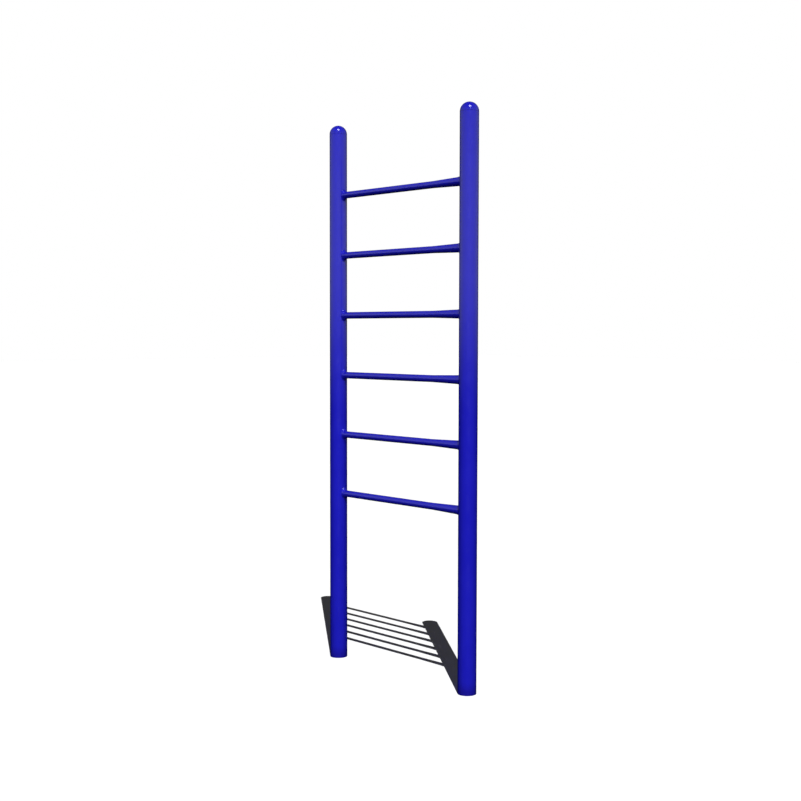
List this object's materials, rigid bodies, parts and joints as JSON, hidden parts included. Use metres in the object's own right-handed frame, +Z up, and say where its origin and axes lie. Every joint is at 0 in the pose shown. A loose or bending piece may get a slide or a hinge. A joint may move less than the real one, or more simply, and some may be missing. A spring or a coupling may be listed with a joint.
{
  "type": "vertical climbing ladder",
  "caption": "Fixed climbing and stretching ladder: two tall round posts with domed caps, joined by round welded rungs with flared ends.",
  "frame": {"origin": "on the ground, midway between the two posts' axes", "axes": "+X from the left post to the right post, +Y the way a climber faces, +Z up"},
  "size_m": [1.019, 0.0888, 2.737],
  "materials": {
    "post_paint": "gloss blue powder coat",
    "cap_paint": "gloss blue powder coat",
    "rung_paint": "gloss blue powder coat",
    "collar_paint": "gloss blue powder coat"
  },
  "bodies": {
    "root": {"left_post": "post_paint", "right_post": "post_paint", "left_cap": "cap_paint", "right_cap": "cap_paint", "rung_1": "rung_paint", "rung_2": "rung_paint", "rung_3": "rung_paint", "rung_4": "rung_paint", "rung_5": "rung_paint", "rung_6": "rung_paint", "left_collar_1": "collar_paint", "left_collar_2": "collar_paint", "left_collar_3": "collar_paint", "left_collar_4": "collar_paint", "left_collar_5": "collar_paint", "left_collar_6": "collar_paint", "right_collar_1": "collar_paint", "right_collar_2": "collar_paint", "right_collar_3": "collar_paint", "right_collar_4": "collar_paint", "right_collar_5": "collar_paint", "right_collar_6": "collar_paint"}
  },
  "joints": []
}
